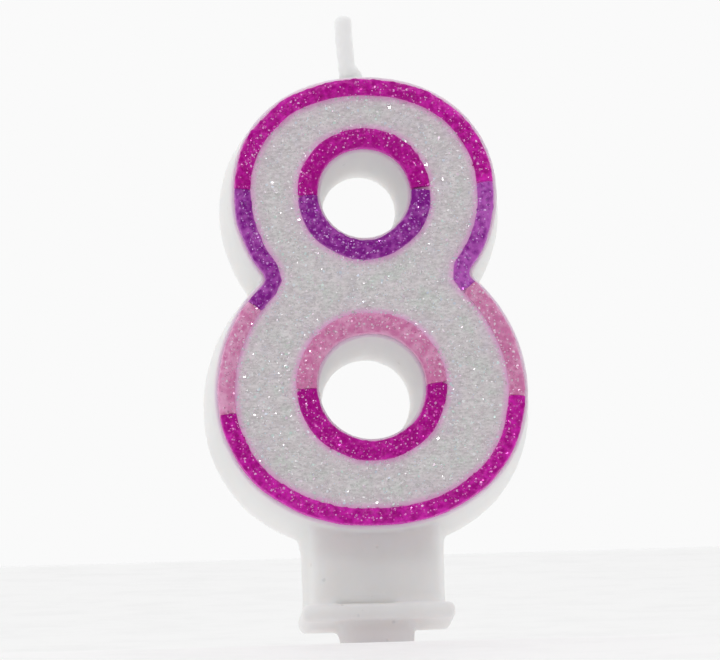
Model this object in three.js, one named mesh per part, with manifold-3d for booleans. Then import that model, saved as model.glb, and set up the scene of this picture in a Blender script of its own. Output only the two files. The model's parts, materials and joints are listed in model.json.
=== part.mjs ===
// Number birthday candle: a moulded wax numeral 8 on a stem with a foot bar and a peg, a glittered
// face, piped borders of coloured glitter gel, and a waxed wick. Millimetres, +Z up, front towards -Y.
// Origin: on the bottom of the peg, on the centre line, halfway through the glittered figure's depth.

import * as THREE from 'three';
import { mergeVertices } from 'three/addons/utils/BufferGeometryUtils.js';
import Module from 'manifold-3d';

const wasm = await Module();
wasm.setup();

// Heights, from the bottom of the peg upwards. The figure is measured to the border's outer edge.
const pegHeight = 3.4;
const footThickness = 2.0;
const stemHeight = 9.0;
const lowerLoopFall = 16.2; // centre of the lower loop down to the border's edge
const loopSpacing = 24.0; // centre to centre
const upperLoopRise = 14.2; // centre of the upper loop up to the border's edge

// Outline of the figure
const lowerLoopHalfWidth = 18.4;
const upperLoopHalfWidth = 15.65;
const waistDrop = 10.0; // centre of the upper loop down to the waist
const waistHalfWidth = 11.95; // to the sharp corner that the notch rounds off
const notchRadius = 0.9;
const leastNotchRadius = 0.5; // where the offset has used up the notch's own radius
const loopSquareness = 2.15; // exponent of the loops' outer quarters; 2 would be an ellipse

// Holes, each round and just inside its bead
const upperHoleRadius = 5.3;
const upperHoleRise = 0.1; // above the loop's centre
const lowerHoleRadius = 6.25;
const lowerHoleRise = 0.6;

// Depth
const figureDepth = 12; // wax and glitter coat
const coatThickness = 0.3;
const draft = 0.97; // how far the walls spread from the front to the back

// Wax left showing around the border and inside the ring beads, at the front
const borderMargin = 0.3;
const ringMargin = 0.25;

// Gel beads
const borderWidth = 2.15;
const ringWidth = 2.6;
const beadHeight = 0.7;
const beadEndGap = 0.3; // between one stroke's end and the next stroke's start

// Heights at which the gel changes colour, above the peg's bottom
const borderChanges = {
  right: { magentaToPurple: 55.6, purpleToPink: 43.0, pinkToMagenta: 29.6 },
  left: { magentaToPurple: 55.6, purpleToPink: 41.3, pinkToMagenta: 28.2 },
};
const upperRingChange = { right: 55.1, left: 54.5 };
const lowerRingChange = { right: 31.4, left: 31.0 };

// Stem, foot bar and peg. Their backs are flush with the figure's.
const stemFrontWidth = 15.5;
const stemBackWidth = 17.6;
const stemRecess = 2.2; // behind the figure's wax front
const stemRoot = 4.5; // how far the stem runs up into the figure
const stemCornerRadius = 1.2;
const footWidth = 18.8;
const footRecess = 0.9;
const footEndRadius = 0.9;
const pegWidth = 8.5;
const pegRecess = 2.2;
const pegCornerRadius = 0.6;
const joinDepth = 0.5; // how far stacked parts of the casting run into each other

// Wick
const wickDiameter = 1.9;
const wickExposed = 8.1; // above the wax
const wickEmbedded = 6.5; // in the wax
const wickShift = -1.0; // of the root from the centre line
const wickLean = THREE.MathUtils.degToRad(2.4); // towards -X
const wickClearance = 0.3; // around the wick in its bore, and between its two parts
const wickSides = 16;

// Worked-out places
const backPlane = figureDepth / 2;
const coatFront = -figureDepth / 2;
const waxFront = coatFront + coatThickness;
const waxDepth = figureDepth - coatThickness;
const footTop = pegHeight + footThickness;
const borderBottom = footTop + stemHeight;
const lowerCentre = borderBottom + lowerLoopFall;
const upperCentre = lowerCentre + loopSpacing;
const borderTop = upperCentre + upperLoopRise;
const waistZ = upperCentre - waistDrop;
const wickRadius = wickDiameter / 2;
const boreRadius = wickRadius + wickClearance;
const waxTop = borderTop + borderMargin + draft * (-waxFront / waxDepth); // at mid-depth

const holes = {
  upper: { centre: upperCentre + upperHoleRise, radius: upperHoleRadius },
  lower: { centre: lowerCentre + lowerHoleRise, radius: lowerHoleRadius },
};

const quarterSteps = 14;
const innerSteps = 10;
const notchSteps = 5;
const circleSteps = 48;
const sectionSteps = 3;

const finish = {
  wax: { color: 0xe9e6e4, roughness: 0.45, metalness: 0 },
  coat: { color: 0xd2ced0, roughness: 0.35, metalness: 0.1 },
  magenta: { color: 0xb8008c, roughness: 0.3, metalness: 0 },
  purple: { color: 0x8a2296, roughness: 0.3, metalness: 0 },
  pink: { color: 0xd272aa, roughness: 0.3, metalness: 0 },
  wick: { color: 0xf0eeea, roughness: 0.6, metalness: 0 },
};

// ---------------------------------------------------------------- outline of the figure

// One quarter of a loop. The inner quarters are ellipses that pass through the waist's corner.
function outerQuarter(halfWidth, reach, centre, direction) {
  return { halfWidth, reach, centre, direction, squareness: loopSquareness };
}

function innerQuarter(halfWidth, centre, direction) {
  const reach = Math.abs(centre - waistZ) / Math.sqrt(1 - (waistHalfWidth / halfWidth) ** 2);
  return { halfWidth, reach, centre, direction, squareness: 2 };
}

const upperTop = outerQuarter(upperLoopHalfWidth, upperLoopRise, upperCentre, 1);
const upperWaist = innerQuarter(upperLoopHalfWidth, upperCentre, -1);
const lowerWaist = innerQuarter(lowerLoopHalfWidth, lowerCentre, 1);
const lowerBottom = outerQuarter(lowerLoopHalfWidth, lowerLoopFall, lowerCentre, -1);

// The outward direction at an angle: 0 is the pole above or below the centre, 90 degrees the widest point.
function quarterNormal(quarter, angle) {
  const { halfWidth, reach, direction, squareness } = quarter;
  const power = (2 * (squareness - 1)) / squareness;
  const x = Math.sin(angle) ** power / halfWidth;
  const z = (direction * Math.cos(angle) ** power) / reach;
  return new THREE.Vector2(x, z).normalize();
}

function quarterPoint(quarter, angle, offset) {
  const { halfWidth, reach, centre, direction, squareness } = quarter;
  const x = halfWidth * Math.sin(angle) ** (2 / squareness);
  const z = centre + direction * reach * Math.cos(angle) ** (2 / squareness);
  return new THREE.Vector2(x, z).addScaledVector(quarterNormal(quarter, angle), offset);
}

// The place between low and high up to which the test holds.
function bisect(low, high, test) {
  let [from, to] = [low, high];
  for (let turn = 0; turn < 50; turn += 1) {
    const middle = (from + to) / 2;
    if (test(middle)) {
      from = middle;
    } else {
      to = middle;
    }
  }
  return from;
}

function angleAtHalfWidth(quarter, halfWidth, offset) {
  return bisect(0, Math.PI / 2, (angle) => quarterPoint(quarter, angle, offset).x < halfWidth);
}

// Where the two waist quarters, both moved outwards by the offset, cross: one angle on each.
function waistCrossing(offset) {
  const lowerAngleFor = (upperAngle) => {
    const halfWidth = quarterPoint(upperWaist, upperAngle, offset).x;
    return angleAtHalfWidth(lowerWaist, halfWidth, offset);
  };
  const upperAngle = bisect(0, Math.PI / 2, (angle) => {
    const lowerPoint = quarterPoint(lowerWaist, lowerAngleFor(angle), offset);
    return lowerPoint.y > quarterPoint(upperWaist, angle, offset).y;
  });
  return { upperAngle, lowerAngle: lowerAngleFor(upperAngle) };
}

function steppedQuarter(quarter, from, to, steps, offset) {
  return Array.from({ length: steps + 1 }, (_, i) =>
    quarterPoint(quarter, from + ((to - from) * i) / steps, offset));
}

// The closed outline, the offset outside the border's edge, clockwise from the top as seen from the front.
function outline(offset) {
  const widest = Math.PI / 2;
  const radius = Math.max(leastNotchRadius, notchRadius - offset);
  const { upperAngle, lowerAngle } = waistCrossing(offset + radius);
  const notchCentre = quarterPoint(upperWaist, upperAngle, offset + radius);
  const start = quarterNormal(upperWaist, upperAngle).negate().angle();
  const end = quarterNormal(lowerWaist, lowerAngle).negate().angle();
  const notch = Array.from({ length: notchSteps - 1 }, (_, i) => {
    const angle = start + ((end - start) * (i + 1)) / notchSteps;
    return new THREE.Vector2(Math.cos(angle), Math.sin(angle)).multiplyScalar(radius).add(notchCentre);
  });
  const right = [
    ...steppedQuarter(upperTop, 0, widest, quarterSteps, offset),
    ...steppedQuarter(upperWaist, widest, upperAngle, innerSteps, offset).slice(1),
    ...notch,
    ...steppedQuarter(lowerWaist, lowerAngle, widest, innerSteps, offset),
    ...steppedQuarter(lowerBottom, widest, 0, quarterSteps, offset).slice(1),
  ];
  const left = right.slice(1, -1).reverse().map((point) => new THREE.Vector2(-point.x, point.y));
  return [...right, ...left];
}

function circle(centre, radius) {
  return Array.from({ length: circleSteps }, (_, i) => {
    const angle = (2 * Math.PI * i) / circleSteps;
    return new THREE.Vector2(radius * Math.sin(angle), centre + radius * Math.cos(angle));
  });
}

// The figure's face: its outline moved outwards, and its holes made wider, by the amounts given.
function faceShape(offset, holeGrowth) {
  const shape = new THREE.Shape(outline(offset).reverse());
  for (const { centre, radius } of Object.values(holes)) {
    shape.holes.push(new THREE.Path(circle(centre, radius + holeGrowth)));
  }
  return shape;
}

// ---------------------------------------------------------------- solids

function toSolid(geometry) {
  const bare = geometry.clone();
  bare.deleteAttribute('normal');
  bare.deleteAttribute('uv');
  const merged = mergeVertices(bare, 1e-5);
  return new wasm.Manifold(new wasm.Mesh({
    numProp: 3,
    vertProperties: new Float32Array(merged.attributes.position.array),
    triVerts: new Uint32Array(merged.index.array),
  }));
}

function toGeometry(solid) {
  const { vertProperties, triVerts } = solid.getMesh();
  const geometry = new THREE.BufferGeometry();
  geometry.setAttribute('position', new THREE.BufferAttribute(new Float32Array(vertProperties), 3));
  geometry.setIndex(new THREE.BufferAttribute(new Uint32Array(triVerts), 1));
  geometry.computeVertexNormals();
  return geometry;
}

// A shape drawn in x and z, made into a plate between two depths.
function plate(shape, front, back) {
  const geometry = new THREE.ExtrudeGeometry(shape, { depth: back - front, bevelEnabled: false });
  return geometry.rotateX(Math.PI / 2).translate(0, back, 0);
}

// The same plate with drafted walls: the outline spreads, and the holes shrink, towards the back.
function draftedPlate(shape, front, back, spread) {
  const slab = 1;
  const thickness = back - front;
  const bevel = { bevelThickness: thickness, bevelSize: spread, bevelSegments: 1 };
  const both = new THREE.ExtrudeGeometry(shape, { depth: slab, ...bevel });
  const reach = 4 * (borderTop + thickness);
  const frontHalf = new THREE.BoxGeometry(reach, reach, thickness + slab);
  frontHalf.translate(0, 0, slab + (thickness + slab) / 2);
  const half = toSolid(both).intersect(toSolid(frontHalf));
  return toGeometry(half).rotateX(Math.PI / 2).translate(0, back + slab, 0);
}

function roundedRectangle(left, right, bottom, top, radius) {
  const shape = new THREE.Shape();
  shape.moveTo(left + radius, bottom);
  shape.lineTo(right - radius, bottom);
  shape.absarc(right - radius, bottom + radius, radius, -Math.PI / 2, 0);
  shape.absarc(right - radius, top - radius, radius, 0, Math.PI / 2);
  shape.absarc(left + radius, top - radius, radius, Math.PI / 2, Math.PI);
  shape.absarc(left + radius, bottom + radius, radius, Math.PI, 1.5 * Math.PI);
  return shape;
}

// ---------------------------------------------------------------- pieces

function addPiece(parent, name, geometry, look) {
  const mesh = new THREE.Mesh(geometry, new THREE.MeshStandardMaterial(look));
  mesh.name = name;
  parent.add(mesh);
  return mesh;
}

// The stem's section in plan: narrower at the front, with round front corners.
function stemSolid() {
  const front = waxFront + stemRecess;
  const frontHalf = stemFrontWidth / 2;
  const backHalf = stemBackWidth / 2;
  const section = new THREE.Shape();
  section.moveTo(backHalf, backPlane);
  section.lineTo(-backHalf, backPlane);
  section.lineTo(-frontHalf, front + stemCornerRadius);
  section.quadraticCurveTo(-frontHalf, front, -frontHalf + stemCornerRadius, front);
  section.lineTo(frontHalf - stemCornerRadius, front);
  section.quadraticCurveTo(frontHalf, front, frontHalf, front + stemCornerRadius);
  section.closePath();
  const depth = borderBottom + stemRoot - (footTop - joinDepth);
  const geometry = new THREE.ExtrudeGeometry(section, { depth, bevelEnabled: false, curveSegments: 5 });
  return toSolid(geometry.translate(0, 0, footTop - joinDepth));
}

function footSolid() {
  const shape = roundedRectangle(-footWidth / 2, footWidth / 2, pegHeight, footTop, footEndRadius);
  return toSolid(plate(shape, waxFront + footRecess, backPlane));
}

function pegSolid() {
  const front = waxFront + pegRecess;
  const shape = roundedRectangle(-pegWidth / 2, pegWidth / 2, front, backPlane, pegCornerRadius);
  const depth = pegHeight + joinDepth;
  return toSolid(new THREE.ExtrudeGeometry(shape, { depth, bevelEnabled: false, curveSegments: 4 }));
}

function wickBore() {
  const bottom = waxTop - wickEmbedded - wickClearance;
  const top = borderTop + 2 * wickExposed;
  const bore = new THREE.CylinderGeometry(boreRadius, boreRadius, top - bottom, wickSides);
  return toSolid(bore.rotateX(Math.PI / 2).translate(wickShift, 0, (top + bottom) / 2));
}

function waxBody() {
  const figure = draftedPlate(faceShape(borderMargin, 0), waxFront, backPlane, draft);
  const casting = toSolid(figure).add(stemSolid()).add(footSolid()).add(pegSolid());
  return toGeometry(casting.subtract(wickBore()));
}

// The cross-section of a gel bead: flat under, arched over. Its x becomes the height off the face.
function beadSection(width) {
  const section = new THREE.Shape();
  section.absellipse(0, 0, beadHeight, width / 2, -Math.PI / 2, Math.PI / 2);
  section.closePath();
  return section;
}

function lineLength(line) {
  return line.reduce((sum, point, i) => sum + point.distanceTo(line[(i + 1) % line.length]), 0);
}

// The part of a closed line between two lengths along it, with points at its own spacing.
function stretch(line, from, to) {
  const closed = new THREE.CurvePath();
  line.forEach((point, i) => {
    closed.add(new THREE.LineCurve(point, line[(i + 1) % line.length]));
  });
  const whole = lineLength(line);
  const spacing = whole / line.length;
  const steps = Math.ceil((to - from) / spacing);
  return Array.from({ length: steps + 1 }, (_, i) => {
    const length = from + ((to - from) * i) / steps;
    const share = (((length % whole) + whole) % whole) / whole;
    const point = closed.getPoint(share);
    return new THREE.Vector3(point.x, coatFront, point.y);
  });
}

// How far along the line, from its top, it passes a height on its right or left side.
function lengthAtHeight(line, side, height) {
  let length = 0;
  for (let i = 0; i < line.length; i += 1) {
    const from = line[i];
    const to = line[(i + 1) % line.length];
    const onSide = Math.sign(from.x + to.x) === side;
    const share = (height - from.y) / (to.y - from.y);
    if (onSide && share >= 0 && share <= 1) {
      return length + share * from.distanceTo(to);
    }
    length += from.distanceTo(to);
  }
  return length;
}

function addBead(parent, name, look, line, width, from, to) {
  const points = stretch(line, from + beadEndGap / 2, to - beadEndGap / 2);
  const path = new THREE.CatmullRomCurve3(points);
  const options = { steps: points.length - 1, extrudePath: path, curveSegments: sectionSteps };
  addPiece(parent, name, new THREE.ExtrudeGeometry(beadSection(width), options), look);
}

function addBorder(parent) {
  const line = outline(-borderWidth / 2);
  const whole = lineLength(line);
  const at = (side, change) => {
    const sign = side === 'right' ? 1 : -1;
    return lengthAtHeight(line, sign, borderChanges[side][change]);
  };
  const strokes = [
    ['border_top_magenta', 'magenta', at('left', 'magentaToPurple') - whole, at('right', 'magentaToPurple')],
    ['border_right_purple', 'purple', at('right', 'magentaToPurple'), at('right', 'purpleToPink')],
    ['border_right_pink', 'pink', at('right', 'purpleToPink'), at('right', 'pinkToMagenta')],
    ['border_bottom_magenta', 'magenta', at('right', 'pinkToMagenta'), at('left', 'pinkToMagenta')],
    ['border_left_pink', 'pink', at('left', 'pinkToMagenta'), at('left', 'purpleToPink')],
    ['border_left_purple', 'purple', at('left', 'purpleToPink'), at('left', 'magentaToPurple')],
  ];
  for (const [name, colour, from, to] of strokes) {
    addBead(parent, name, finish[colour], line, borderWidth, from, to);
  }
}

function addRing(parent, label, hole, change, upperColour, lowerColour) {
  const line = circle(hole.centre, hole.radius + ringMargin + ringWidth / 2);
  const whole = lineLength(line);
  const right = lengthAtHeight(line, 1, change.right);
  const left = lengthAtHeight(line, -1, change.left);
  const stroke = (colour, from, to) =>
    addBead(parent, `${label}_ring_${colour}`, finish[colour], line, ringWidth, from, to);
  stroke(upperColour, left - whole, right);
  stroke(lowerColour, right, left);
}

// The wick's free end turns about the middle of its round lower end, at the wax's surface.
function wickTip() {
  const round = (centre, from, to) => Array.from({ length: 5 }, (_, i) => {
    const angle = from + ((to - from) * i) / 4;
    return new THREE.Vector2(wickRadius * Math.cos(angle), centre + wickRadius * Math.sin(angle));
  });
  const profile = [
    ...round(0, -Math.PI / 2, 0),
    ...round(wickExposed - wickRadius, 0, Math.PI / 2),
  ];
  profile[0].x = 0;
  profile.at(-1).x = 0;
  return new THREE.LatheGeometry(profile, wickSides).rotateX(Math.PI / 2);
}

function addWick(parent) {
  const tipGroup = new THREE.Group();
  tipGroup.position.set(wickShift, 0, waxTop);
  tipGroup.rotation.y = -wickLean;
  addPiece(tipGroup, 'wick_tip', wickTip(), finish.wick);
  parent.add(tipGroup);

  const coreTop = waxTop - wickRadius - wickClearance;
  const coreBottom = waxTop - wickEmbedded;
  const core = new THREE.CylinderGeometry(wickRadius, wickRadius, coreTop - coreBottom, wickSides);
  const mesh = addPiece(parent, 'wick_core', core.rotateX(Math.PI / 2), finish.wick);
  mesh.position.set(wickShift, 0, (coreTop + coreBottom) / 2);
}

const candle = new THREE.Group();
addPiece(candle, 'wax_body', waxBody(), finish.wax);
addPiece(candle, 'glitter_coat', plate(faceShape(0, ringMargin), coatFront, waxFront), finish.coat);
addBorder(candle);
addRing(candle, 'upper', holes.upper, upperRingChange, 'magenta', 'purple');
addRing(candle, 'lower', holes.lower, lowerRingChange, 'pink', 'magenta');
addWick(candle);

export default candle;
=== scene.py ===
import bmesh
import bpy
import json
import math
import random
from mathutils import Matrix, Vector, noise
from mathutils.bvhtree import BVHTree
from mathutils.kdtree import KDTree


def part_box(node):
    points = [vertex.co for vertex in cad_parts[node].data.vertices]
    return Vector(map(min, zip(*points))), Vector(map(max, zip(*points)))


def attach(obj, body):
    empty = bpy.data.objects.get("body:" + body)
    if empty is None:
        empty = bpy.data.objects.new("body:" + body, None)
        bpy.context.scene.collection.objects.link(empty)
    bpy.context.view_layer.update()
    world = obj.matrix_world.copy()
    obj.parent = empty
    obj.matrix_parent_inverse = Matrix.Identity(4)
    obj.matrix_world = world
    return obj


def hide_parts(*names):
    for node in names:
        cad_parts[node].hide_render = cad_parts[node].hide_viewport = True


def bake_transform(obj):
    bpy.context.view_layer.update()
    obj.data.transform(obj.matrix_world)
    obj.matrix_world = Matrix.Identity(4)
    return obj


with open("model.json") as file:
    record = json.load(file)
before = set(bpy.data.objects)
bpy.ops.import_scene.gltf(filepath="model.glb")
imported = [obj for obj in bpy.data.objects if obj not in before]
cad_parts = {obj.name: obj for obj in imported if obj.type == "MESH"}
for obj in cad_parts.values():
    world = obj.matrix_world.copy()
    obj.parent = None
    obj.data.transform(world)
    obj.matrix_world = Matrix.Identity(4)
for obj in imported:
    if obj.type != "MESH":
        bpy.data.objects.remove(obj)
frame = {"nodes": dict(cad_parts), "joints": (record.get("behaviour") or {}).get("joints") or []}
noise.seed_set(8)  # or vector noise would differ from run to run
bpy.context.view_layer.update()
mm = 0.001


# small helpers for meshes
def newPiece(name, shape):
    mesh = bpy.data.meshes.new(name)
    shape.to_mesh(mesh)
    shape.free()
    piece = bpy.data.objects.new(name, mesh)
    bpy.context.scene.collection.objects.link(piece)
    return piece


def copyNode(node):
    shape = bmesh.new()
    shape.from_mesh(frame["nodes"][node].data)
    bmesh.ops.remove_doubles(shape, verts=shape.verts, dist=0.002 * mm)  # CAD meshes are loose triangles
    bmesh.ops.recalc_face_normals(shape, faces=shape.faces)
    return shape


def settle(piece):  # applies the modifiers
    evaluated = piece.evaluated_get(bpy.context.evaluated_depsgraph_get())
    mesh = bpy.data.meshes.new_from_object(evaluated)
    mesh.name = piece.name
    piece.modifiers.clear()
    piece.data = mesh


def soften(piece, voxel, rounds):  # one closed skin with soft edges
    remesh = piece.modifiers.new("skin", "REMESH")
    remesh.mode = "VOXEL"
    remesh.voxel_size = voxel
    smooth = piece.modifiers.new("soft", "SMOOTH")
    smooth.factor = 0.5
    smooth.iterations = rounds
    settle(piece)


def shadeSmooth(piece):
    piece.data.polygons.foreach_set("use_smooth", [True] * len(piece.data.polygons))


def ramp(value, low, high):
    t = min(max((value - low) / (high - low), 0), 1)
    return t * t * (3 - 2 * t)


def bvhOf(piece):
    shape = bmesh.new()
    shape.from_mesh(piece.data)
    tree = BVHTree.FromBMesh(shape)
    shape.free()
    return tree


def reshape(piece, moved):  # moved gives a point's new place from its old one and its normal
    spots = [(vert.co.copy(), vert.normal.copy()) for vert in piece.data.vertices]
    places = [number for place, normal in spots for number in moved(place, normal)]
    piece.data.vertices.foreach_set("co", places)
    piece.data.update()


def setPointValues(piece, name, values):
    layer = piece.data.attributes.new(name, "FLOAT", "POINT")
    layer.data.foreach_set("value", values)


# small helpers for materials
class Wire:  # a socket that takes part in sums, as in 1 - mask
    def __init__(self, finish, socket):
        self.finish = finish
        self.socket = socket

    def math(self, operation, first, second):
        return self.finish.node("ShaderNodeMath", {"operation": operation}, {0: first, 1: second})

    def __add__(self, other):
        return self.math("ADD", self, other)

    def __radd__(self, other):
        return self.math("ADD", other, self)

    def __sub__(self, other):
        return self.math("SUBTRACT", self, other)

    def __rsub__(self, other):
        return self.math("SUBTRACT", other, self)

    def __mul__(self, other):
        return self.math("MULTIPLY", self, other)

    def __rmul__(self, other):
        return self.math("MULTIPLY", other, self)

    def __gt__(self, other):
        return self.math("GREATER_THAN", self, other)


class Finish:  # a node tree that grows by one method
    def __init__(self, tree):
        self.tree = tree
        self.tree.nodes.clear()

    def node(self, kind, settings, sockets, out=0):
        made = self.tree.nodes.new(kind)
        for key, value in settings.items():
            if key == "stops":
                self.setStops(made.color_ramp, value)
            else:
                setattr(made, key, value)
        for key, value in sockets.items():
            if isinstance(value, Wire):
                self.tree.links.new(value.socket, made.inputs[key])
            else:
                made.inputs[key].default_value = value
        return Wire(self, made.outputs[out]) if made.outputs else made

    def setStops(self, colorRamp, stops):
        while len(colorRamp.elements) < len(stops):
            colorRamp.elements.new(1)
        for element, (place, color) in zip(colorRamp.elements, stops):
            element.position = place
            element.color = color

    def mix(self, factor, first, second, blend="MIX"):
        settings = {"data_type": "RGBA", "blend_type": blend}
        return self.node("ShaderNodeMix", settings, {0: factor, 6: first, 7: second}, out=2)

    def place(self):
        return self.node("ShaderNodeTexCoord", {}, {}, out=3)

    def noise(self, scale, detail=3.0, roughness=0.55, stretch=(1, 1, 1)):
        place = self.node("ShaderNodeMapping", {}, {"Vector": self.place(), "Scale": stretch})
        sockets = {"Vector": place, "Scale": scale, "Detail": detail, "Roughness": roughness}
        return self.node("ShaderNodeTexNoise", {}, sockets)

    def cells(self, scale):
        return self.node("ShaderNodeTexVoronoi", {}, {"Vector": self.place(), "Scale": scale})

    def between(self, value, low, high, lowOut=0.0, highOut=1.0, curve="LINEAR"):
        sockets = {"Value": value, "From Min": low, "From Max": high, "To Min": lowOut, "To Max": highOut}
        return self.node("ShaderNodeMapRange", {"interpolation_type": curve}, sockets)

    def attribute(self, name):
        return self.node("ShaderNodeAttribute", {"attribute_name": name}, {}, out=2)

    def bump(self, height, distance, strength):
        sockets = {"Height": height, "Distance": distance, "Strength": strength}
        return self.node("ShaderNodeBump", {}, sockets)


def makeMaterial(name):
    material = bpy.data.materials.new(name)
    material.use_nodes = True
    return material, Finish(material.node_tree)


def finishSurface(finish, sockets):
    surface = finish.node("ShaderNodeBsdfPrincipled", {}, sockets)
    finish.node("ShaderNodeOutputMaterial", {}, {"Surface": surface})


def rgb(red, green, blue):
    return (red, green, blue, 1.0)


# the camera stands a little to the left and below, and is rolled slightly
cameraPlan = {
    "lens": 416.6,
    "sensorWidth": 36.0,
    "distance": 1.0,
    "azimuth": -3.90,     # degrees, minus is to the left of straight on
    "elevation": -10.69,  # minus is from below
    "roll": 2.22,
    "aim": (-0.72 * mm, 0, 39.23 * mm),
}


def placeCamera(plan):
    azimuth, elevation, roll = (math.radians(plan[key]) for key in ("azimuth", "elevation", "roll"))
    toward = Vector((math.sin(azimuth) * math.cos(elevation),
                     -math.cos(azimuth) * math.cos(elevation),
                     math.sin(elevation)))
    right = Vector((math.cos(azimuth), math.sin(azimuth), 0))
    up = toward.cross(right)
    rolledRight = right * math.cos(roll) - up * math.sin(roll)
    rolledUp = right * math.sin(roll) + up * math.cos(roll)
    axes = Matrix((rolledRight, rolledUp, toward)).transposed().to_4x4()
    data = bpy.data.cameras.new("camera")
    data.lens = plan["lens"]
    data.sensor_width = plan["sensorWidth"]
    data.clip_start = 0.01
    data.clip_end = 20
    camera = bpy.data.objects.new("camera", data)
    camera.matrix_world = Matrix.Translation(Vector(plan["aim"]) + toward * plan["distance"]) @ axes
    bpy.context.scene.collection.objects.link(camera)
    bpy.context.scene.camera = camera


placeCamera(cameraPlan)
print("camera placed")


# the table top falls away in front, because the camera looks up from below
tablePlan = {
    "halfWidth": 2.5,
    "frontEdge": -0.012,       # where the top starts to fall away towards the camera
    "frontRun": 1.6,
    "frontSlope": math.radians(16),
    "backEdge": 0.06,
    "bend": 0.006,             # how far each fold of the top is rounded
    # y and height of each fold behind the candle
    "rise": [(0.10, 0.0), (0.20, 0.022), (0.30, 0.052), (0.36, 0.070), (0.44, 0.078), (1.6, 0.080)],
    "glow": 0.08,              # a light table, lit a little from below
}


def makeTable(plan):
    shape = bmesh.new()
    drop = plan["frontRun"] * math.tan(plan["frontSlope"])
    profile = [(plan["frontEdge"] - plan["frontRun"], -drop), (plan["frontEdge"], 0), (plan["backEdge"], 0)]
    profile += plan["rise"]
    line = [shape.verts.new((-plan["halfWidth"], y, z)) for y, z in profile]
    edges = [shape.edges.new(pair) for pair in zip(line, line[1:])]
    swept = bmesh.ops.extrude_edge_only(shape, edges=edges)["geom"]
    far = [v for v in swept if isinstance(v, bmesh.types.BMVert)]
    bmesh.ops.translate(shape, verts=far, vec=(2 * plan["halfWidth"], 0, 0))
    folds = [e for e in shape.edges if len(e.link_faces) == 2]
    bmesh.ops.bevel(shape, geom=folds, offset=plan["bend"], offset_type="OFFSET", segments=6, profile=0.5,
                    affect="EDGES", material=-1)
    bmesh.ops.recalc_face_normals(shape, faces=shape.faces)
    if sum(f.normal.z for f in shape.faces) < 0:
        bmesh.ops.reverse_faces(shape, faces=shape.faces)
    table = newPiece("table", shape)
    shadeSmooth(table)
    material, finish = makeMaterial("pale_table_top")
    streaks = finish.noise(90, 6, 0.65, (1, 2.2, 1))
    marks = finish.between(streaks, 0.46, 0.66)
    color = finish.mix(marks, rgb(0.90, 0.90, 0.90), rgb(0.865, 0.865, 0.865))
    finishSurface(finish, {
        "Base Color": color,
        "Roughness": 0.5,
        "Specular IOR Level": 0.12,
        "Emission Color": rgb(1, 1, 1),
        "Emission Strength": plan["glow"],
    })
    table.data.materials.append(material)


makeTable(tablePlan)

lightPlan = {
    "seenWhite": 0.956,    # what shows behind the candle
    "frontTone": 0.20,     # the studio is dim in front and bright above and behind
    "backTone": 0.98,
    "leanBack": 0.85,      # how far the bright side lies to the back
    "leanUp": 0.53,        # and how far up
    "dimEnd": -0.6,        # the light grows from here
    "brightEnd": 0.4,      # to here
    "panels": [            # name, place, size, power; each faces the candle
        ("panel_back_left", (-0.9, 0.7, 0.8), 0.6, 0.8),
        ("panel_back_right", (0.9, 0.6, 0.9), 0.6, 0.8),
        ("panel_front_top", (-0.25, -0.7, 1.0), 0.12, 2.0),
        ("panel_front_left", (-0.75, -0.9, 0.45), 0.14, 0.6),
        ("panel_front_right", (0.6, -1.0, 0.35), 0.14, 0.6),
        ("panel_front_high", (0.2, -1.1, 0.6), 0.10, 0.5),
    ],
}


def lightStudio(plan):
    world = bpy.data.worlds.new("studio")
    bpy.context.scene.world = world
    world.use_nodes = True
    finish = Finish(world.node_tree)
    direction = finish.node("ShaderNodeTexCoord", {}, {}, out=0)
    backward = finish.node("ShaderNodeSeparateXYZ", {}, {"Vector": direction}, out=1)
    upward = finish.node("ShaderNodeSeparateXYZ", {}, {"Vector": direction}, out=2)
    lean = backward * plan["leanBack"] + upward * plan["leanUp"]
    reach = finish.between(lean, plan["dimEnd"], plan["brightEnd"], curve="SMOOTHSTEP")
    tone = plan["frontTone"] + reach * (plan["backTone"] - plan["frontTone"])
    seen = finish.node("ShaderNodeLightPath", {}, {}, out=0)  # the camera sees plain white
    strength = tone + seen * (plan["seenWhite"] - tone)
    light = finish.node("ShaderNodeBackground", {}, {"Color": rgb(1, 1, 1), "Strength": strength})
    finish.node("ShaderNodeOutputWorld", {}, {"Surface": light})
    for name, place, size, power in plan["panels"]:
        data = bpy.data.lights.new(name, "AREA")
        data.shape = "DISK"
        data.size = size
        data.energy = power
        panel = bpy.data.objects.new(name, data)
        back = (Vector(place) - Vector(cameraPlan["aim"])).normalized()
        panel.rotation_euler = back.to_track_quat("Z", "Y").to_euler()
        panel.location = place
        bpy.context.scene.collection.objects.link(panel)
    bpy.context.scene.view_settings.view_transform = "Standard"


lightStudio(lightPlan)
print("table and light set")


# ten strokes of gel, piped along the edges of the face and of its two holes
strokePlan = {
    "voxel": 0.1 * mm,
    "smoothRounds": 5,
    "joinReach": 0.45 * mm,    # strokes this close run into each other
    "joinShare": 0.56,
    "openJoint": ("upper_ring_magenta", "upper_ring_purple"),  # these don't meet on the right
    "sink": 0.45 * mm,         # how far a stroke's underside is bedded in the coat and the wax
    "lumpSize": 0.75 * mm,
    "lumpHeight": 0.26 * mm,
    "grainSize": 0.30 * mm,
    "grainHeight": 0.06 * mm,
    "sideCalm": 0.4,           # share of the lumps that is left on a stroke's sides
    "wanderSize": 3.4 * mm,    # the slow unevenness of a hand-piped line
    "wander": 0.15 * mm,
    "fullHeight": 0.55 * mm,   # where the gel is this thick its colour is deepest
    "evenRim": 0.3 * mm,       # the lumps grow to their full height over this much of the stroke
}

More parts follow.
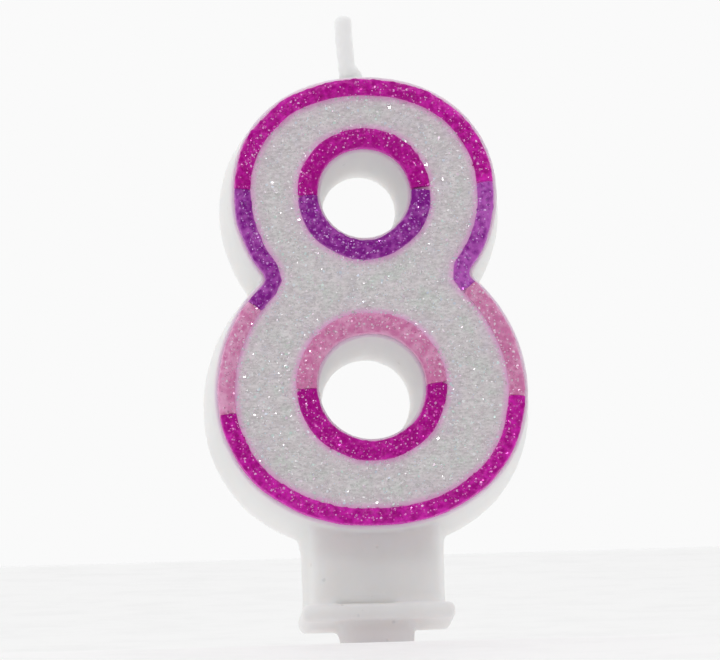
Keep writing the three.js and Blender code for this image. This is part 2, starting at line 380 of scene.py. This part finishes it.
strokes = {
    "border_top_magenta": "magenta_gel",
    "border_right_purple": "purple_gel",
    "border_right_pink": "pink_gel",
    "border_bottom_magenta": "magenta_gel",
    "border_left_pink": "pink_gel",
    "border_left_purple": "purple_gel",
    "upper_ring_magenta": "magenta_gel",
    "upper_ring_purple": "purple_gel",
    "lower_ring_pink": "pink_gel",
    "lower_ring_magenta": "magenta_gel",
}

strokePaleness = {  # how much each stroke's colour leans to its light side; the rest are deep
    "border_top_magenta": 0.07,
    "border_right_purple": 0.26,
    "border_right_pink": 0.10,
    "border_bottom_magenta": 0.12,
    "border_left_pink": 0.15,
    "border_left_purple": 0.06,
    "lower_ring_pink": 0.05,
}


def closeGaps(shapes, plan):  # moves the end of each stroke to the end of the next
    points = {}
    for name, shape in shapes.items():
        tree = KDTree(len(shape.verts))
        for index, vert in enumerate(shape.verts):
            tree.insert(vert.co, index)
        tree.balance()
        points[name] = tree
    moves = []
    for name, shape in shapes.items():
        for vert in shape.verts:
            for other, tree in points.items():
                if other == name:
                    continue
                if name in plan["openJoint"] and other in plan["openJoint"] and vert.co.x > 0:
                    continue
                spot, _, distance = tree.find(vert.co)
                if distance < plan["joinReach"]:
                    moves.append((vert, (spot - vert.co) * plan["joinShare"]))
    for vert, move in moves:
        vert.co += move


def makeStroke(name, shape, plan):
    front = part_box("glitter_coat")[0].y
    for vert in shape.verts:
        if vert.co.y > front - 0.02 * mm:  # the flat underside, give or take its rounding
            vert.co.y = front + plan["sink"]
    stroke = newPiece("gel_" + name, shape)
    soften(stroke, plan["voxel"], plan["smoothRounds"])

    def moved(place, normal):
        lift = ramp(front - place.y, 0.0, plan["evenRim"])
        lumps = noise.noise(place / plan["lumpSize"]) * plan["lumpHeight"]
        grain = noise.noise(place / plan["grainSize"]) * plan["grainHeight"]
        slow = noise.noise_vector(place / plan["wanderSize"]) * plan["wander"]
        slow.y *= lift
        calm = plan["sideCalm"] + (1 - plan["sideCalm"]) * abs(normal.y)
        return place + normal * (lumps + grain) * lift * calm + slow

    reshape(stroke, moved)
    shadeSmooth(stroke)
    setPointValues(stroke, "thick", [(front - v.co.y) / plan["fullHeight"] for v in stroke.data.vertices])
    setPointValues(stroke, "pale", [strokePaleness.get(name, 0.0)] * len(stroke.data.vertices))
    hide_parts(name)
    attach(stroke, "candle")
    return stroke


strokeShapes = {name: copyNode(name) for name in strokes}
closeGaps(strokeShapes, strokePlan)
strokePieces = {name: makeStroke(name, shape, strokePlan) for name, shape in strokeShapes.items()}
strokeTrees = {name: bvhOf(piece) for name, piece in strokePieces.items()}
print("gel strokes piped:", len(strokePieces))


def allStrokes():
    shape = bmesh.new()
    for piece in strokePieces.values():
        shape.from_mesh(piece.data)
    tree = BVHTree.FromBMesh(shape)
    shape.free()
    return tree


strokeSkin = allStrokes()
glowReach = 4.0  # mm, how far the painted pink glow of light cast through the gel reaches into the wax


def setStrokeDistance(piece):  # in mm, because a painted pink glow of light cast through the gel spreads out of the strokes onto what lies beside them
    nearest = [strokeSkin.find_nearest(vert.co, glowReach * mm)[3] for vert in piece.data.vertices]
    setPointValues(piece, "dyeDistance", [glowReach if found is None else found / mm for found in nearest])


# the glitter coat is one film over the face
coatPlan = {
    "voxel": 0.2 * mm,
    "smoothRounds": 3,
    "depth": 0.75 * mm,       # its hidden back is sunk in the wax
    "shrink": 0.48 * mm,      # its rim ends under the strokes
    "grainSize": 0.34 * mm,
    "grainHeight": 0.05 * mm,
    "waveSize": 3.5 * mm,
    "waveHeight": 0.06 * mm,
}


def makeCoat(plan):
    low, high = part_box("glitter_coat")
    shape = copyNode("glitter_coat")
    shape.normal_update()
    inward = {vert: -Vector((vert.normal.x, 0, vert.normal.z)).normalized() for vert in shape.verts}
    for vert in shape.verts:
        vert.co += inward[vert] * plan["shrink"]
        if vert.co.y > (low.y + high.y) / 2:
            vert.co.y = low.y + plan["depth"]
    coat = newPiece("glitter_coat_face", shape)
    soften(coat, plan["voxel"], plan["smoothRounds"])

    def moved(place, normal):
        facing = ramp(-normal.y, 0.6, 0.95)  # the rim stays smooth
        grain = noise.noise(place / plan["grainSize"]) * plan["grainHeight"]
        wave = noise.noise(place / plan["waveSize"]) * plan["waveHeight"]
        return place + Vector((0, facing * (grain + wave), 0))

    reshape(coat, moved)
    shadeSmooth(coat)
    setStrokeDistance(coat)
    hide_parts("glitter_coat")
    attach(coat, "candle")
    return coat


coat = makeCoat(coatPlan)
print("coat laid:", len(coat.data.polygons), "faces")


# the wax body is one casting, and its wax closes in round the wick
waxPlan = {
    "voxel": 0.29 * mm,
    "smoothRounds": 5,
    "plugRadius": 1.5 * mm,    # wax that fills the bore round the wick
    "plugDepth": 7.2 * mm,
    "collarRadius": 1.0 * mm,
    "collarHeight": 0.5 * mm,
    "footTop": 5.4 * mm,
    "stem": (0.5 * mm, 8.2 * mm),  # the length of stem that is rounded, above the foot's top
    "stemRounds": 60,          # the stem's and the foot's edges are rounder than the figure's
    "footOver": 0.8 * mm,      # the foot's rounding goes on this far up the stem
    "footRounds": 40,
    "evenRim": (0.1 * mm, 1.2 * mm),  # behind the front face, where the unevenness sets in
    "waveSize": 7.0 * mm,
    "waveHeight": 0.07 * mm,
    "rippleSize": 1.6 * mm,
    "rippleHeight": 0.018 * mm,
    "crease": {                # a fold in the wax above the foot bar
        "z": 5.55 * mm,
        "from": -5.6 * mm,
        "to": 2.6 * mm,
        "fade": 1.2 * mm,
        "height": 0.34 * mm,
        "depth": 0.55 * mm,
    },
}


def wickRoot():  # where the wick leaves the wax, and bends
    return Vector(frame["joints"][0]["pos_m"])


def roundFoot(body, plan):  # the mould's stem and foot have rounder edges
    shape = bmesh.new()
    shape.from_mesh(body.data)
    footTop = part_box("wax_body")[0].z + plan["footTop"]
    stemFrom, stemTo = plan["stem"]
    stem = [v for v in shape.verts if footTop + stemFrom < v.co.z < footTop + stemTo]
    foot = [v for v in shape.verts if v.co.z < footTop + plan["footOver"]]
    for verts, rounds in ((stem, plan["stemRounds"]), (foot, plan["footRounds"])):
        for _ in range(rounds):
            bmesh.ops.smooth_vert(shape, verts=verts, factor=0.5, use_axis_x=True, use_axis_y=True,
                                  use_axis_z=False)
    shape.to_mesh(body.data)
    shape.free()


def makeWax(plan):
    shape = copyNode("wax_body")
    middle = wickRoot() + Vector((0, 0, (plan["collarHeight"] - plan["plugDepth"]) / 2))
    bmesh.ops.create_cone(shape, cap_ends=True, segments=32, radius1=plan["plugRadius"],
                          radius2=plan["collarRadius"], depth=plan["plugDepth"] + plan["collarHeight"],
                          matrix=Matrix.Translation(middle))
    body = newPiece("wax_body_cast", shape)
    soften(body, plan["voxel"], plan["smoothRounds"])
    roundFoot(body, plan)
    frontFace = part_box("wax_body")[0].y
    crease = plan["crease"]

    def moved(place, normal):
        wave = noise.noise(place / plan["waveSize"]) * plan["waveHeight"]
        ripple = noise.noise(place / plan["rippleSize"]) * plan["rippleHeight"]
        dent = 0
        if place.y < 0 and crease["from"] < place.x < crease["to"]:
            ends = ramp(min(place.x - crease["from"], crease["to"] - place.x), 0, crease["fade"])
            dent = crease["depth"] * ends * (1 - ramp(abs(place.z - crease["z"]), 0, crease["height"]))
        uneven = (wave + ripple) * ramp(place.y - frontFace, *plan["evenRim"])
        return place + normal * uneven + Vector((0, dent, 0))

    reshape(body, moved)
    shadeSmooth(body)
    setStrokeDistance(body)
    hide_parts("wax_body")
    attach(body, "candle")
    return body


waxBody = makeWax(waxPlan)
print("wax body cast:", len(waxBody.data.polygons), "faces")


# the wick is one braid from inside the wax to its tip
wickPlan = {
    "radius": 1.03 * mm,
    "taller": 0.25 * mm,    # than the plain CAD wick
    "leanFurther": 0.2 * mm,
    "step": 0.16 * mm,
    "around": 24,
    "strands": 6,
    "braidPitch": 3.4 * mm,
    "braidDepth": 0.05 * mm,
    "roughSize": 0.9 * mm,
    "roughHeight": 0.05 * mm,
    "dome": 0.8,            # height of the rounded tip, as a share of the radius
    "tipShare": 0.25,       # the flat that is left on the tip, as a share of the radius
    "buried": 4.0 * mm,
    "bow": 0.05 * mm,
    "bowAngle": 7.0,        # radians of gentle wave along the wick
    "bendFrom": 0.5 * mm,   # from below the wax surface
    "bendTo": 1.6 * mm,     # to above it
    "drip": {               # wax that has run down on the right of the root
        "height": 2.3 * mm,
        "reach": 0.75 * mm,
        "full": 0.35,       # share of its height over which it keeps its full reach
        "heading": 0.25,    # radians, from the right towards the back
        "depth": 2.0 * mm,
    },
}


def makeWick(plan):
    tipLow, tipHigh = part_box("wick_tip")
    root = wickRoot()
    top = Vector((tipLow.x + plan["radius"] - plan["leanFurther"], 0, tipHigh.z + plan["taller"]))
    along = (top - root).normalized()
    start = root - along * plan["buried"]
    length = (top - start).length
    side = Vector((0, 1, 0)).cross(along).normalized()
    behind = along.cross(side).normalized()
    count = round(length / plan["step"])
    shape = bmesh.new()
    stood = Matrix.Translation(start) @ Matrix((side, behind, along)).transposed().to_4x4()
    bmesh.ops.create_circle(shape, cap_ends=False, segments=plan["around"], radius=plan["radius"],
                            matrix=stood)
    edges = list(shape.edges)
    bottom = edges
    for _ in range(count):
        grown = bmesh.ops.extrude_edge_only(shape, edges=edges)["geom"]
        edges = [e for e in grown if isinstance(e, bmesh.types.BMEdge) and e.is_boundary]
        verts = [v for v in grown if isinstance(v, bmesh.types.BMVert)]
        bmesh.ops.translate(shape, verts=verts, vec=along * (length / count))
    bmesh.ops.holes_fill(shape, edges=edges + bottom, sides=0)
    drip = plan["drip"]
    strandWaves = plan["strands"] / 2
    for vert in shape.verts:
        offset = vert.co - start
        height = offset.dot(along)
        spoke = offset - along * height
        angle = math.atan2(spoke.dot(behind), spoke.dot(side))
        turn = 2 * math.pi * height / plan["braidPitch"]
        oneWay = abs(math.sin(strandWaves * angle + turn))
        otherWay = abs(math.sin(strandWaves * angle - turn))
        relief = oneWay + otherWay - 1.3  # about as much above the surface as below it
        rough = noise.noise(vert.co / plan["roughSize"]) * plan["roughHeight"]
        room = max(length - height, 0) / (plan["radius"] * plan["dome"])
        dome = math.sqrt(max(1 - (1 - min(room, 1)) ** 2, 0.0))
        taper = plan["tipShare"] + (1 - plan["tipShare"]) * dome
        radius = (plan["radius"] + plan["braidDepth"] * relief + rough) * taper
        above = height - plan["buried"]
        onRight = ramp(math.cos(angle - drip["heading"]), -0.1, 1.0)
        run = onRight * (1 - ramp(above, drip["full"] * drip["height"], drip["height"]))
        radius += drip["reach"] * run * ramp(above, -drip["depth"], 0)
        wave = side * plan["bow"] * math.sin(height / length * plan["bowAngle"]) * ramp(height, 0, length)
        vert.co = start + along * height + spoke.normalized() * radius + wave
    bmesh.ops.recalc_face_normals(shape, faces=shape.faces)
    wick = newPiece("waxed_wick", shape)
    shadeSmooth(wick)
    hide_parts("wick_tip", "wick_core")
    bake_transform(wick)
    return wick


wick = makeWick(wickPlan)
print("wick braided")


# glitter flakes are thin hexagons, scattered over the coat and the strokes
flakePlan = {
    "seed": 8,
    "thickness": 0.012 * mm,
    "batch": 200,            # flakes are made in small lots, which is much faster
    "steepest": 75,          # degrees
    "lift": 0.35,            # a tilted flake's middle is lifted by this share of its half height
    "steepFace": -0.7,       # no flakes on the coat where its normal's y is above this
    "face": {
        "count": 5400,
        "radius": (0.05 * mm, 0.12 * mm),
        "bigShare": 0.07,
        "bigRadius": 0.20 * mm,
        "tilt": 20,
    },
    "gel": {
        "count": 3100,
        "radius": (0.06 * mm, 0.12 * mm),
        "bigShare": 0.14,
        "bigRadius": 0.17 * mm,
        "tilt": 34,
    },
}


def layFlakes(name, spots, plan, kind, dice):
    whole = bmesh.new()
    whole.verts.layers.float.new("tint")
    for first in range(0, len(spots), plan["batch"]):
        batch = bmesh.new()
        tint = batch.verts.layers.float.new("tint")
        for place, normal in spots[first:first + plan["batch"]]:
            radius = kind["bigRadius"] if dice.random() < kind["bigShare"] else dice.uniform(*kind["radius"])
            tilt = math.radians(min(abs(dice.gauss(0, kind["tilt"])), plan["steepest"]))
            spin = dice.uniform(0, 2 * math.pi)
            shade = dice.random()
            facing = normal.to_track_quat("Z", "Y").to_matrix().to_4x4()
            lean = Matrix.Rotation(spin, 4, "Z") @ Matrix.Rotation(tilt, 4, "X")
            raised = Matrix.Translation(place + normal * (radius * math.sin(tilt) * plan["lift"]))
            made = bmesh.ops.create_cone(batch, cap_ends=True, segments=6, radius1=radius, radius2=radius,
                                         depth=plan["thickness"], matrix=raised @ facing @ lean)
            for vert in made["verts"]:
                vert[tint] = shade
        mesh = bpy.data.meshes.new("batch")
        batch.to_mesh(mesh)
        batch.free()
        whole.from_mesh(mesh)
        bpy.data.meshes.remove(mesh)
    flakes = newPiece(name, whole)
    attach(flakes, "candle")
    return flakes


def findSpots(plan, dice):  # places on whichever surface lies in front
    low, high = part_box("glitter_coat")
    coatTree = bvhOf(coat)
    spots = {"silver_glitter": [], "magenta_gel": [], "purple_gel": [], "pink_gel": []}
    gelCount = 0
    ahead = Vector((0, 1, 0))
    while len(spots["silver_glitter"]) < plan["face"]["count"] or gelCount < plan["gel"]["count"]:
        origin = Vector((dice.uniform(low.x, high.x), low.y - 5 * mm, dice.uniform(low.z, high.z)))
        hit, normal = coatTree.ray_cast(origin, ahead)[:2]
        if hit is None:
            continue
        owner = "silver_glitter"
        for name, tree in strokeTrees.items():
            over, overNormal = tree.ray_cast(origin, ahead)[:2]
            if over is not None and over.y < hit.y:
                owner, hit, normal = strokes[name], over, overNormal
        if owner == "silver_glitter":
            if normal.y > plan["steepFace"] or len(spots[owner]) >= plan["face"]["count"]:
                continue
        else:
            if gelCount >= plan["gel"]["count"]:
                continue
            gelCount += 1
        spots[owner].append((hit.copy(), normal.copy()))
    return spots


dice = random.Random(flakePlan["seed"])
spots = findSpots(flakePlan, dice)
flakePieces = {}
for slotName, places in spots.items():
    kind = flakePlan["face"] if slotName == "silver_glitter" else flakePlan["gel"]
    flakes = layFlakes("flakes_" + slotName, places, flakePlan, kind, dice)
    flakePieces[slotName] = flakes
print("glitter scattered:", {key: len(value) for key, value in spots.items()})


# the finish of each material slot
def waxFinish():
    material, finish = makeMaterial("white_paraffin_wax")
    cloud = finish.noise(130, 4, 0.6)
    away = finish.attribute("dyeDistance")
    color = finish.mix(finish.between(cloud, 0.3, 0.7), rgb(0.83, 0.825, 0.82), rgb(0.87, 0.865, 0.86))
    # a painted pink glow of light cast through the gel reaches a few millimetres faintly, and half a
    # millimetre strongly
    color = finish.mix(finish.between(away, 0.1, glowReach, 0.22, 0.0), color, rgb(0.87, 0.62, 0.74))
    color = finish.mix(finish.between(away, 0.0, 0.70, 0.85, 0.0), color, rgb(0.93, 0.52, 0.82))
    # painted shade near the table: the peg and the bottom of the foot bar are painted darker and pinkish
    height = finish.node("ShaderNodeSeparateXYZ", {}, {"Vector": finish.place()}, out=2)
    color = finish.mix(finish.between(height, 1.5 * mm, 5.0 * mm, 0.55, 0.0), color, rgb(0.80, 0.72, 0.735))
    grain = finish.noise(1900, 3, 0.6)
    pits = finish.between(finish.cells(430), 0.05, 0.12)  # a few bubbles that opened on the mould
    pits = 1 - (1 - pits) * (finish.noise(300, 2) > 0.52)
    color = finish.mix((1 - pits) * 0.35, color, rgb(0.55, 0.54, 0.54))  # painted shade in them
    finishSurface(finish, {
        "Base Color": color,
        "Roughness": finish.between(cloud, 0.3, 0.7, 0.40, 0.52),
        "IOR": 1.44,
        "Specular IOR Level": 0.35,
        "Subsurface Weight": 0.85,
        "Subsurface Radius": (4.2 * mm, 3.8 * mm, 3.5 * mm),
        "Subsurface Scale": 1.0,
        "Normal": finish.bump(grain * 0.1 + pits, 0.12 * mm, 0.7),
    })
    return material


def coatFinish():
    material, finish = makeMaterial("glitter_glue_coat")
    grain = finish.noise(2600, 4, 0.7, (0.7, 1, 1.5))
    patch = finish.noise(420, 3, 0.6)
    away = finish.attribute("dyeDistance")
    base = finish.mix(finish.between(grain, 0.34, 0.66), rgb(0.59, 0.565, 0.57), rgb(0.92, 0.885, 0.90))
    tinted = finish.node("ShaderNodeValToRGB", {"stops": [
        (0.30, rgb(0.92, 1.0, 0.94)), (0.45, rgb(1.0, 1.0, 1.0)),
        (0.55, rgb(1.0, 0.97, 0.98)), (0.70, rgb(0.97, 0.95, 1.0))]}, {"Fac": patch})
    color = finish.mix(1.0, base, tinted, "MULTIPLY")
    # a painted pink glow of light cast through the gel, on the coat beside the strokes
    color = finish.mix(finish.between(away, 0.0, 2.0, 0.32, 0.0), color, rgb(0.84, 0.58, 0.76))
    color = finish.mix(finish.between(away, 0.0, 0.75, 0.9, 0.0), color, rgb(0.95, 0.50, 0.84))
    finishSurface(finish, {
        "Base Color": color,
        "Roughness": finish.between(grain, 0.3, 0.7, 0.30, 0.55),
        "Specular IOR Level": 0.4,
        "Coat Weight": 0.15,
        "Coat Roughness": 0.2,
        "Normal": finish.bump(grain, 0.05 * mm, 0.6),
    })
    return material


def gelFinish(name, thin, deep, bright):
    material, finish = makeMaterial(name)
    lumps = finish.cells(1250)
    grain = finish.noise(2100, 4, 0.65)
    thick = finish.attribute("thick")
    drift = finish.noise(150, 2)   # some lengths of a stroke are paler than others
    pale = finish.attribute("pale")
    shade = finish.between(lumps * 0.6 + grain * 0.6 + drift * 0.7 + pale, 0.93, 1.33)
    color = finish.mix(shade, deep, bright)
    # light shows through its thin rims
    color = finish.mix(finish.between(thick, 0.0, 0.6, 0.8, 0.0), color, thin)
    finishSurface(finish, {
        "Base Color": color,
        "Roughness": finish.between(grain, 0.3, 0.7, 0.16, 0.34),
        "Specular IOR Level": 0.14,
        "Normal": finish.bump(grain, 0.07 * mm, 0.8),
    })
    return material


def flakeFinish(name, stops, metallic):
    material, finish = makeMaterial(name)
    tint = finish.attribute("tint")
    color = finish.node("ShaderNodeValToRGB", {"stops": stops}, {"Fac": tint})
    finishSurface(finish, {"Base Color": color, "Metallic": metallic,
                           "Roughness": finish.between(tint, 0, 1, 0.16, 0.34)})
    return material


def wickFinish():
    material, finish = makeMaterial("waxed_cotton")
    fibre = finish.noise(900, 4, 0.65, (1, 1, 0.4))
    color = finish.mix(finish.between(fibre, 0.3, 0.7), rgb(0.93, 0.925, 0.92), rgb(0.97, 0.97, 0.965))
    finishSurface(finish, {
        "Base Color": color,
        "Roughness": finish.between(fibre, 0.3, 0.7, 0.5, 0.65),
        "Specular IOR Level": 0.35,
        "Subsurface Weight": 1.0,
        "Subsurface Radius": (3.0 * mm, 2.9 * mm, 2.8 * mm),
        "Subsurface Scale": 1.0,
        "Normal": finish.bump(fibre, 0.05 * mm, 0.5),
    })
    return material


waxBody.data.materials.append(waxFinish())
coat.data.materials.append(coatFinish())
wick.data.materials.append(wickFinish())
gelColors = {  # where the gel is thin, deep and bright
    "magenta_gel": (rgb(0.82, 0.07, 0.60), rgb(0.46, 0.0, 0.28), rgb(0.76, 0.02, 0.51)),
    "purple_gel": (rgb(0.64, 0.22, 0.66), rgb(0.26, 0.01, 0.30), rgb(0.56, 0.12, 0.58)),
    "pink_gel": (rgb(0.88, 0.47, 0.70), rgb(0.72, 0.22, 0.46), rgb(0.86, 0.42, 0.65)),
}
gelFinishes = {slotName: gelFinish(slotName + "_glitter", *colors) for slotName, colors in gelColors.items()}
for strokeName, slotName in strokes.items():
    strokePieces[strokeName].data.materials.append(gelFinishes[slotName])

flakeColors = {  # how metallic the flakes are, and their colours along each flake's own random number
    "silver_glitter": (0.3, [
        (0.0, rgb(0.84, 0.81, 0.82)),
        (0.45, rgb(0.92, 0.89, 0.91)),
        (0.62, rgb(0.95, 0.78, 0.91)),
        (0.75, rgb(0.78, 0.95, 0.88)),
        (0.87, rgb(0.80, 0.85, 0.97)),
        (1.0, rgb(0.97, 0.97, 0.97)),
    ]),
    "magenta_gel": (0.4, [
        (0.0, rgb(0.62, 0.01, 0.36)),
        (0.5, rgb(0.86, 0.10, 0.62)),
        (1.0, rgb(0.97, 0.55, 0.88)),
    ]),
    "purple_gel": (0.4, [
        (0.0, rgb(0.36, 0.03, 0.44)),
        (0.5, rgb(0.62, 0.20, 0.70)),
        (1.0, rgb(0.86, 0.52, 0.92)),
    ]),
    "pink_gel": (0.35, [
        (0.0, rgb(0.76, 0.28, 0.52)),
        (0.5, rgb(0.90, 0.50, 0.74)),
        (1.0, rgb(0.98, 0.82, 0.93)),
    ]),
}
for slotName, (metallic, stops) in flakeColors.items():
    flakePieces[slotName].data.materials.append(flakeFinish("flakes_in_" + slotName, stops, metallic))
print("finishes made")
